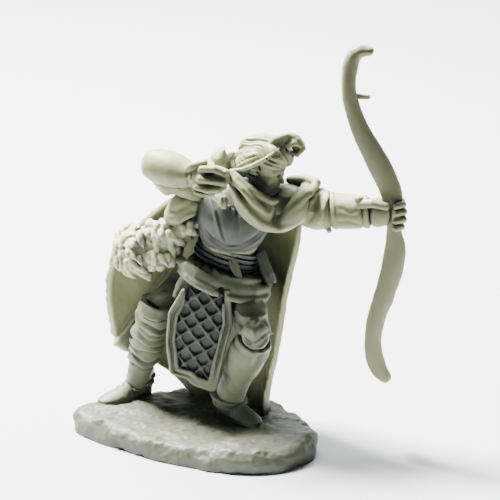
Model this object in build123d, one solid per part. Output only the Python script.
from build123d import *
import os

# An archer figure for tabletop games, about 1:56, cast in soft vinyl and stood on a low sculpted base.
# Millimetres, +Z up. The origin is the middle of the base's flat underside. The figure faces -Y and
# aims its bow towards +X. Every garment, limb and piece of kit is a solid of its own, and the pieces
# meet face to face: an outer piece is cut back to whatever it is worn over.

# Driving dimensions
BASE_HEIGHT = 2.3
BASE_EDGE_ROUND = 1.1
SOLE_SEAT = 0.15  # how far each sole is let into the base
PEG_RADIUS = 0.45
PEG_LENGTH = 1.3
CLOAK_THICKNESS = 0.9
CLOAK_FOOT = 1.3  # how far up the base's rounded edge the cloak reaches down to
TABARD_THICKNESS = 0.7
TABARD_BORDER = 0.75
TABARD_BORDER_PROUD = 0.25
BOW_DEPTH = 0.62  # half the bow's thickness, front to back
ROOM_TOLERANCE = 0.1  # how closely a piece's room is measured
DOME_STEPS = (0.55, 0.88)  # where a rounded end's extra sections stand, in half widths

UP = Vector(0, 0, 1)
AWAY = Vector(0, 1, 0)
RIGHT = Vector(1, 0, 0)

# Skeleton: the joints of the figure, as a modeller's wire armature would run
PELVIS = Vector(2.6, 4.5, 16.4)
WAIST = Vector(3.0, 4.2, 18.6)
CHEST = Vector(3.9, 2.6, 22.9)
COLLAR = Vector(5.6, 2.3, 26.0)
NECK = Vector(6.7, 1.9, 27.6)
HEAD = Vector(7.45, 0.5, 30.2)

RIGHT_HIP = Vector(-0.6, 5.4, 16.2)
RIGHT_KNEE = Vector(-4.45, 2.3, 13.9)
RIGHT_ANKLE = Vector(-6.5, 7.2, 4.6)
RIGHT_HEEL = Vector(-5.5, 8.0, BASE_HEIGHT)
RIGHT_TOE = Vector(-10.7, 4.3, BASE_HEIGHT)

LEFT_HIP = Vector(4.9, 4.2, 16.4)
LEFT_KNEE = Vector(6.1, -1.6, 12.6)
LEFT_ANKLE = Vector(3.5, 1.4, 4.8)
LEFT_HEEL = Vector(2.6, 2.7, BASE_HEIGHT)
LEFT_TOE = Vector(6.6, -2.5, BASE_HEIGHT)

RIGHT_SHOULDER = Vector(0.9, 3.4, 26.0)
RIGHT_ELBOW = Vector(-3.9, 1.0, 30.2)
RIGHT_WRIST = Vector(-0.3, -0.8, 29.6)
RIGHT_KNUCKLES = Vector(2.9, -1.5, 29.5)

LEFT_SHOULDER = Vector(9.6, 1.6, 26.0)
LEFT_ELBOW = Vector(13.2, 0.7, 25.5)
LEFT_WRIST = Vector(17.7, -0.7, 25.6)
LEFT_KNUCKLES = Vector(20.9, -1.4, 25.9)

# The base's outline, a blunt oval that runs from behind the right foot to before the left one
BASE_OUTLINE = [
    (-13.2, 3.4), (-11.6, 6.3), (-6.4, 9.4), (0.0, 9.9), (6.4, 7.3), (10.8, 2.9),
    (12.7, -1.8), (11.4, -6.9), (6.2, -10.0), (0.7, -8.5), (-5.2, -5.3), (-10.8, -0.5),
]

# The bow's line, from the upper tip to the lower one: x, z and half width
BOW_LINE = [
    (17.75, 42.9, 0.4), (16.95, 42.9, 0.55), (16.2, 42.35, 0.66), (15.85, 41.2, 0.72), (15.7, 39.6, 0.66),
    (15.95, 37.6, 0.72), (16.9, 34.8, 0.88), (18.3, 32.1, 1.05), (19.6, 29.6, 1.12), (20.35, 27.6, 1.0),
    (20.55, 25.6, 0.72), (20.6, 23.8, 0.72), (20.75, 21.9, 1.05), (20.45, 19.6, 1.1), (19.75, 17.0, 1.0),
    (19.0, 14.6, 0.9), (18.6, 12.2, 0.84), (18.75, 10.2, 0.86), (19.3, 8.6, 0.8), (19.95, 7.8, 0.6),
]
BOW_Y = -1.5

# The cloak's plan at a few heights: height, then points from its right edge round the back to its left
CLOAK_PLAN = [
    (27.6, [(9.0, 3.6), (7.4, 4.4), (5.2, 4.8), (3.0, 4.7), (1.0, 4.0)]),
    (26.4, [(10.4, 3.5), (8.2, 5.0), (4.9, 5.7), (1.4, 5.7), (-1.4, 4.6)]),
    (23.6, [(11.3, 3.2), (8.8, 5.6), (4.6, 6.9), (-0.6, 7.1), (-5.2, 5.9)]),
    (19.0, [(10.5, 3.0), (8.6, 6.5), (3.2, 8.3), (-3.4, 8.5), (-9.0, 6.0)]),
    (14.0, [(9.5, 3.1), (7.9, 7.1), (2.2, 9.3), (-4.6, 9.5), (-10.0, 6.6)]),
    (8.0, [(8.6, 3.3), (7.2, 7.3), (2.0, 9.5), (-4.4, 9.9), (-9.4, 7.9)]),
    (CLOAK_FOOT, [(7.8, 3.3), (6.2, 6.4), (2.0, 8.5), (-3.4, 9.2), (-8.0, 8.2)]),
]
HEM_CORNER_X = -0.4  # right of here the cloak reaches the base
HEM_SLOPE = 0.82  # how steeply the hem rises to the left of that

# The tabard's front outline: x and z, from the upper left corner anticlockwise
TABARD_OUTLINE = [
    (-0.9, 18.0), (-2.8, 14.5), (-3.1, 11.6), (-2.7, 8.0), (-1.0, 7.5), (-0.3, 6.8),
    (1.9, 6.0), (3.0, 10.9), (3.7, 13.4), (3.5, 17.3),
]
TABARD_CORNER_ROUND = 0.45
TABARD_FRONT = Vector(0, -0.6, 12)
TABARD_TILT = -4  # the foot of the panel swings out towards the front


# A foot from heel to toe: share of its length, and its half width and height there
FOOT_PROFILE = [
    (0.0, 0.7, 1.5), (0.18, 1.1, 2.5), (0.42, 1.15, 2.1),
    (0.7, 1.25, 1.35), (0.9, 1.0, 0.95), (1.0, 0.55, 0.6),
]


def section(centre, along, half_width, half_depth, side):
    """An ellipse across a limb: half_width runs along side, half_depth across it."""
    z_dir = along.normalized()
    x_dir = (side - z_dir * side.dot(z_dir)).normalized()
    return Plane(origin=centre, x_dir=x_dir, z_dir=z_dir) * Ellipse(half_width, half_depth)


def in_between(before, start, end, after, share):
    """A smooth value a share of the way from start to end, given the values on either side of them."""
    pull_in = (end - before) * 0.5
    pull_out = (after - start) * 0.5
    square, cube = share * share, share * share * share
    return (
        start * (2 * cube - 3 * square + 1)
        + pull_in * (cube - 2 * square + share)
        + end * (3 * square - 2 * cube)
        + pull_out * (cube - square)
    )


def refine(stations, steps):
    """The stations with steps - 1 smooth ones put in between each two."""
    padded = [stations[0], *stations, stations[-1]]
    fine = []
    for before, start, end, after in zip(padded, padded[1:], padded[2:], padded[3:]):
        for step in range(steps):
            share = step / steps
            fine.append(tuple(in_between(*values, share) for values in zip(before, start, end, after)))
    return [*fine, stations[-1]]


def limb(stations, side=RIGHT, dome_start=False, dome_end=False, steps=1):
    """A rounded limb through stations of (centre, half width, half depth), with domed ends where asked."""
    stations = refine(stations, steps)
    centres = [s[0] for s in stations]
    count = len(stations)
    along = [
        (centres[min(i + 1, count - 1)] - centres[max(i - 1, 0)]).normalized() for i in range(count)
    ]
    sections = [section(c, along[i], w, d, side) for i, (c, w, d) in enumerate(stations)]
    if dome_start:
        sections = dome(stations[0], along[0] * -1, side)[::-1] + sections
    if dome_end:
        sections = sections + dome(stations[-1], along[-1], side)
    return loft(sections)


def dome(station, outwards, side):
    """The shrinking sections of a rounded end, and the point that closes it."""
    centre, width, depth = station
    reach = min(width, depth)
    rings = []
    for step in DOME_STEPS:
        shrink = (1 - step * step) ** 0.5
        ring_centre = centre + outwards * (reach * step)
        rings.append(section(ring_centre, outwards, width * shrink, depth * shrink, side))
    return rings + [Vertex(*(centre + outwards * reach))]


def ball(centre, half_x, half_y, half_z, turn=(0, 0, 0)):
    """An egg of three half widths, turned about its own middle."""
    return Pos(centre) * Rotation(*turn) * scale(Sphere(1), by=(half_x, half_y, half_z))


def between(start, end, share):
    return start + (end - start) * share


def biggest(shape):
    return max(shape.solids(), key=lambda solid: solid.volume)


def boot_foot(heel, toe):
    """A foot from heel to toe, flat under the sole, with a peg that goes down into the base."""
    axis = (toe - heel).normalized()
    length = (toe - heel).length
    side = axis.cross(UP)
    sections = []
    for share, half_width, height in FOOT_PROFILE:
        centre = heel + axis * (length * share) + UP * (height * 0.3)
        sections.append(section(centre, axis, half_width, height * 0.7, side))
    foot = loft(sections)
    wide = 4 * length
    under = Pos(heel.X, heel.Y, heel.Z - SOLE_SEAT - wide / 2) * Box(wide, wide, wide)
    ball_of_foot = between(heel, toe, 0.3)
    peg_middle = Pos(ball_of_foot.X, ball_of_foot.Y, BASE_HEIGHT - PEG_LENGTH / 2)
    return (foot - under) + peg_middle * Cylinder(PEG_RADIUS, PEG_LENGTH)


def base():
    outline = Spline(*[Vector(x, y, 0) for x, y in BASE_OUTLINE], periodic=True)
    lump = extrude(make_face(outline), BASE_HEIGHT)
    return fillet(lump.edges().group_by(Axis.Z)[-1], BASE_EDGE_ROUND)


def bow():
    """A recurved bow, carved as one stave."""
    centres = [Vector(x, BOW_Y, z) for x, z, _ in BOW_LINE]
    stations = [(c, BOW_DEPTH, w) for c, (_, _, w) in zip(centres, BOW_LINE)]
    return limb(stations, AWAY, dome_start=True, dome_end=True, steps=2)


def bow_string_stub():
    """The short end of string, or its peg, that stands out near the upper tip."""
    start = Vector(16.0, BOW_Y, 38.25)
    middle = start + Vector(1.0, 0, -0.1)
    end = start + Vector(1.9, 0, -0.15)
    return limb([(start, 0.28, 0.28), (middle, 0.26, 0.26), (end, 0.22, 0.22)], AWAY)


def cloak():
    """A curved sheet from the shoulders to the base, its hem rising to the left."""
    sections = []
    for height, plan in CLOAK_PLAN:
        outer = Spline(*[Vector(x, y, height) for x, y in plan])
        middle_x = plan[2][0]
        inner_points = []
        for x, y in plan:
            lean = max(-1.0, min(1.0, (middle_x - x) / 6))
            sideways = CLOAK_THICKNESS * lean * 0.7
            forwards = CLOAK_THICKNESS * (1 - abs(lean) * 0.4)
            inner_points.append(Vector(x + sideways, y - forwards, height))
        inner = Spline(*inner_points[::-1])
        ends = [Line(outer @ 1, inner @ 0), Line(inner @ 1, outer @ 0)]
        sections.append(make_face(Wire([outer, ends[0], inner, ends[1]])))
    sheet = loft(sections[::-1])
    reach = 14
    below_hem = Polyline(
        (HEM_CORNER_X, 0, BASE_HEIGHT - 0.2),
        (HEM_CORNER_X - reach, 0, BASE_HEIGHT - 0.2 + reach * HEM_SLOPE),
        (HEM_CORNER_X - reach, 0, BASE_HEIGHT - 2),
        (HEM_CORNER_X, 0, BASE_HEIGHT - 2),
        close=True,
    )
    return sheet - Pos(0, 15, 0) * extrude(make_face(below_hem), 30, dir=(0, -1, 0))


def ring(centre, half_x, half_y, height, flare=0.0, thickness=0.6, turn=(0, 0, 0)):
    """A band round the body, wider at its foot by flare, hollow inside."""
    outer = loft([
        Pos(0, 0, -height / 2) * Ellipse(half_x + flare, half_y + flare),
        Pos(0, 0, height / 2) * Ellipse(half_x, half_y),
    ])
    inner = loft([
        Pos(0, 0, -height / 2 - 0.1) * Ellipse(half_x + flare - thickness, half_y + flare - thickness),
        Pos(0, 0, height / 2 + 0.1) * Ellipse(half_x - thickness, half_y - thickness),
    ])
    return Pos(centre) * Rotation(*turn) * (outer - inner)


def tabard_slab(inset, front, back):
    """The tabard's outline, drawn in by inset, as a slab between two depths."""
    corners = [Vector(x, 0, z - TABARD_FRONT.Z) for x, z in TABARD_OUTLINE]
    outline = make_face(Polyline(corners, close=True))
    if inset:
        outline = offset(outline, -inset, kind=Kind.INTERSECTION)
    outline = fillet(outline.vertices(), TABARD_CORNER_ROUND)
    slab = Pos(0, front, 0) * extrude(outline, back - front, dir=(0, 1, 0))
    return Pos(TABARD_FRONT) * Rotation(TABARD_TILT, 0, 0) * slab


def tabard_panel():
    return tabard_slab(TABARD_BORDER, 0, TABARD_THICKNESS)


def tabard_border():
    frame = tabard_slab(0, -TABARD_BORDER_PROUD, TABARD_THICKNESS)
    return frame - tabard_slab(TABARD_BORDER, -2 * TABARD_BORDER_PROUD, 2 * TABARD_THICKNESS)


def leg(hip, knee, hip_half, knee_half):
    middle = between(hip, knee, 0.5) + AWAY * -0.3
    stations = [(hip, hip_half, hip_half), (middle, hip_half * 0.97, hip_half), (knee, knee_half, knee_half)]
    return limb(stations)


def shin(knee, ankle, knee_half, calf_half, ankle_half):
    calf = between(knee, ankle, 0.4) + AWAY * 0.35
    lower = between(knee, ankle, 0.8)
    foot_end = ankle - UP * 0.9
    stations = [(knee, knee_half, knee_half), (calf, calf_half, calf_half)]
    stations += [(lower, ankle_half, ankle_half), (foot_end, ankle_half, ankle_half)]
    return limb(stations)


def hand(wrist, knuckles, half):
    """A fist: a short block with domed ends, along the forearm."""
    stations = [
        (between(wrist, knuckles, 0.12), half * 0.8, half * 0.75),
        (between(wrist, knuckles, 0.55), half, half),
        (between(wrist, knuckles, 0.82), half * 0.9, half * 0.95),
    ]
    return limb(stations, UP, dome_end=True)


def peg(start, end):
    """A locating peg from one casting into the next."""
    way = end - start
    return Plane(origin=start + way * 0.5, z_dir=way) * Cylinder(PEG_RADIUS, way.length)


def legs():
    """Feet, boots and thighs, with what is worn round them."""
    pieces = {}
    pieces["right_foot"] = boot_foot(RIGHT_HEEL, RIGHT_TOE)
    pieces["left_foot"] = boot_foot(LEFT_HEEL, LEFT_TOE)
    pieces["right_boot"] = shin(RIGHT_KNEE, RIGHT_ANKLE, 1.6, 1.75, 1.4)
    pieces["left_boot"] = shin(LEFT_KNEE - UP * 0.7, LEFT_ANKLE, 1.8, 1.9, 1.5)
    pieces["right_thigh"] = leg(RIGHT_HIP, RIGHT_KNEE, 1.75, 1.5)
    pieces["left_thigh"] = leg(LEFT_HIP, LEFT_KNEE, 1.85, 1.6)
    cuff_middle = between(RIGHT_HIP, RIGHT_KNEE, 0.95) + Vector(0, 0, 0.2)
    pieces["right_boot_cuff"] = ring(cuff_middle, 1.8, 1.8, 0.9, 0.12, 0.6, (10, 14, 0))
    pieces["left_knee_flap"] = ball(LEFT_KNEE + Vector(0.1, -0.75, 0.1), 1.5, 1.1, 1.9, (14, -6, 0))
    ankle_turn = Rotation(14, 12, 0)
    pieces["left_ankle_cuff"] = Pos(LEFT_ANKLE + Vector(-0.1, 0.1, -0.5)) * ankle_turn * Torus(1.45, 0.5)
    strap_turn = Rotation(22, -14, 0)
    pieces["right_ankle_strap"] = Pos(RIGHT_ANKLE + Vector(0.1, -0.1, -0.2)) * strap_turn * Torus(1.3, 0.38)
    return pieces


def bow_and_arms():
    pieces = {"bow": bow(), "bow_string_stub": bow_string_stub()}
    wrist_end = between(LEFT_WRIST, LEFT_KNUCKLES, 0.14)
    left_peg = peg(wrist_end, LEFT_WRIST - RIGHT * PEG_LENGTH)
    pieces["left_hand"] = hand(LEFT_WRIST, LEFT_KNUCKLES, 1.5) + left_peg
    cuff_end = between(RIGHT_WRIST, RIGHT_KNUCKLES, 0.14)
    right_peg = peg(cuff_end, RIGHT_WRIST - RIGHT * PEG_LENGTH)
    pieces["right_hand"] = hand(RIGHT_WRIST, RIGHT_KNUCKLES, 1.5) + right_peg
    sleeve = [(RIGHT_ELBOW, 1.75, 1.75)]
    sleeve.append((between(RIGHT_ELBOW, RIGHT_WRIST, 0.35), 1.85, 1.8))
    sleeve.append((between(RIGHT_ELBOW, RIGHT_WRIST, 0.7), 1.6, 1.6))
    sleeve.append((cuff_end, 1.45, 1.45))
    pieces["right_forearm"] = limb(sleeve, UP, dome_start=True)
    middle = between(RIGHT_SHOULDER, RIGHT_ELBOW, 0.5)
    upper = [(RIGHT_SHOULDER, 1.6, 1.6), (middle, 1.4, 1.4), (RIGHT_ELBOW, 1.3, 1.3)]
    pieces["right_upper_arm"] = limb(upper, UP, dome_start=True)
    elbow_end = between(LEFT_ELBOW, LEFT_WRIST, 0.12)
    middle = between(LEFT_ELBOW, LEFT_WRIST, 0.5)
    bracer = [(elbow_end, 1.85, 1.65), (middle, 1.85, 1.65), (wrist_end, 1.5, 1.45)]
    pieces["left_bracer"] = limb(bracer, UP)
    middle = between(LEFT_SHOULDER, LEFT_ELBOW, 0.6)
    upper = [(LEFT_SHOULDER, 1.9, 1.8), (middle, 2.0, 1.8), (elbow_end, 1.9, 1.7)]
    pieces["left_upper_arm"] = limb(upper, UP, dome_start=True)
    return pieces


def armour_and_clothes():
    """What is worn on the body below the neck, the inner layers first."""
    pieces = {}
    plate = [
        (between(WAIST, CHEST, 0.4) + Vector(-0.1, -1.3, 0), 1.4, 1.2),
        (between(WAIST, CHEST, 0.6) + Vector(-0.1, -0.7, 0), 2.75, 2.2),
        (CHEST + Vector(-0.3, -0.2, 0), 3.65, 2.8),
        (between(CHEST, COLLAR, 0.8) + Vector(-0.6, 0, 0.2), 4.0, 2.5),
    ]
    pieces["breastplate"] = limb(plate)
    pieces["fauld"] = ring(between(WAIST, CHEST, 0.36), 3.3, 2.7, 2.2, 0.1, 0.8, (8, 20, 0))
    pieces["belt"] = ring(WAIST + Vector(-0.1, 0, -0.3), 3.1, 2.5, 1.0, 0.15, 0.7, (6, 8, 0))
    strap = [
        (Vector(3.5, 1.3, 20.5), 0.45, 0.3),
        (Vector(4.0, 0.8, 19.3), 0.4, 0.25),
        (Vector(4.6, 0.3, 18.1), 0.2, 0.15),
    ]
    pieces["belt_end"] = limb(strap)
    pieces["skirt"] = ring(Vector(3.2, 3.6, 17.5), 4.1, 3.6, 2.0, 0.5, 1.1, (0, 15, 0))
    tail = [
        (Vector(6.7, 2.6, 20.3), 0.5, 0.4),
        (Vector(7.3, 2.1, 18.8), 0.6, 0.45),
        (Vector(7.9, 1.8, 17.1), 0.5, 0.4),
    ]
    pieces["coat_tail"] = limb(tail)
    hanging = [
        (Vector(-0.7, 0.7, 18.4), 0.5, 0.3),
        (Vector(-1.5, 0.5, 17.2), 0.6, 0.3),
        (Vector(-2.1, 0.4, 16.0), 0.35, 0.25),
    ]
    pieces["hip_strap"] = limb(hanging)
    pieces["tabard_panel"] = tabard_panel()
    pieces["tabard_border"] = tabard_border()
    return pieces


def head_and_hood():
    pieces = {"head": ball(HEAD, 1.95, 2.2, 2.9, (4, -15, 35))}
    neck_top = between(NECK, HEAD, 0.6)
    neck_root = between(NECK, COLLAR, 0.6)
    pieces["neck"] = limb([(NECK, 1.25, 1.2), (neck_top, 1.15, 1.15)]) + peg(NECK, neck_root)
    return pieces


def hair_and_cowl():
    pieces = {}
    hair_middle = HEAD + Vector(-0.5, 0.6, 0.8)
    pieces["hair"] = ball(hair_middle, 2.5, 2.7, 2.5, (0, -15, 20))
    lock = [
        (Vector(8.3, -0.5, 32.3), 0.7, 0.7),
        (Vector(9.1, -0.5, 33.0), 0.75, 0.75),
        (Vector(10.0, -0.45, 33.2), 0.72, 0.7),
        (Vector(10.65, -0.4, 32.75), 0.5, 0.55),
    ]
    pieces["forelock"] = limb(lock, AWAY, dome_start=True, dome_end=True, steps=2)
    pieces["circlet"] = ring(hair_middle, 2.75, 2.85, 0.55, 0, 0.5, (-17, -23, 0))
    roll = [
        (Vector(3.9, 1.2, 28.7), 0.9, 0.6),
        (Vector(4.7, -0.5, 27.3), 1.4, 0.85),
        (Vector(6.6, -1.5, 25.7), 1.6, 1.0),
        (Vector(8.9, -1.5, 25.2), 1.65, 1.1),
        (Vector(10.8, -0.4, 26.2), 1.65, 1.2),
        (Vector(11.5, 1.4, 26.9), 1.5, 1.2),
        (Vector(10.6, 3.3, 26.7), 1.3, 1.1),
        (Vector(8.6, 4.5, 26.8), 1.2, 1.0),
    ]
    pieces["cowl"] = limb(roll, UP, dome_start=True, dome_end=True)
    hood = [
        (Vector(1.3, 4.0, 29.4), 1.1, 0.9),
        (Vector(3.0, 4.1, 29.6), 1.4, 1.2),
        (Vector(5.2, 4.6, 28.6), 1.6, 1.3),
        (Vector(7.6, 4.8, 27.6), 1.3, 1.1),
    ]
    pieces["hood"] = limb(hood, UP, dome_start=True, dome_end=True)
    return pieces


def drapery():
    pieces = {}
    pieces["shoulder_drape"] = ball(Vector(-1.3, 2.4, 25.3), 1.5, 1.2, 2.5, (0, 42, 0))
    pieces["cloak_clasp"] = ball(Vector(2.9, -0.3, 26.6), 0.45, 0.45, 0.75)
    mantle = [
        (Vector(-0.9, 3.0, 23.9), 1.2, 1.1),
        (Vector(-2.8, 3.0, 22.0), 2.0, 1.5),
        (Vector(-4.9, 3.5, 20.4), 2.6, 1.8),
        (Vector(-7.1, 4.5, 19.9), 2.5, 1.8),
    ]
    pieces["fur_mantle"] = limb(mantle, UP, dome_start=True, dome_end=True)
    pieces["cloak"] = cloak()
    return pieces


def build_pieces():
    """Every piece, inner ones first, because each is cut back to the pieces before it."""
    hip_line = PELVIS + UP * 1.4
    trunk = [(hip_line, 2.7, 2.2), (WAIST, 2.7, 2.1), (CHEST, 3.2, 2.4)]
    trunk += [(COLLAR, 3.3, 2.0), (NECK, 1.3, 1.2)]
    hips = [(PELVIS - UP * 1.9, 2.2, 1.9), (PELVIS, 2.9, 2.4), (hip_line, 2.7, 2.2)]
    waist_peg = peg(hip_line + UP * 0.1, hip_line + UP * (0.1 - PEG_LENGTH))
    pieces = head_and_hood()
    pieces["torso"] = limb(trunk) + waist_peg
    pieces["pelvis"] = limb(hips)
    pieces |= legs()
    pieces |= bow_and_arms()
    pieces |= hair_and_cowl()
    pieces |= armour_and_clothes()
    pieces |= drapery()
    pieces["base"] = base()
    return pieces


def room(piece):
    """The lowest and highest corners of the room a piece takes up, with a little to spare."""
    points = piece.tessellate(ROOM_TOLERANCE)[0]
    low = [min(p.X for p in points), min(p.Y for p in points), min(p.Z for p in points)]
    high = [max(p.X for p in points), max(p.Y for p in points), max(p.Z for p in points)]
    return [v - ROOM_TOLERANCE for v in low], [v + ROOM_TOLERANCE for v in high]


def rooms_meet(a, b):
    return all(a[0][i] < b[1][i] and b[0][i] < a[1][i] for i in range(3))


def cut_back(pieces):
    """Cuts each piece back to those before it, so that neighbours meet face to face."""
    done = {}
    rooms = {name: room(piece) for name, piece in pieces.items()}
    for name, piece in pieces.items():
        for inner_name, inner in done.items():
            if rooms_meet(rooms[name], rooms[inner_name]):
                piece = piece - inner
        done[name] = biggest(piece)
    return done


if __name__ == "__main__":
    os.makedirs("parts", exist_ok=True)
    for node, solid in cut_back(build_pieces()).items():
        solid.label = node
        export_step(solid, f"parts/{node}.step")
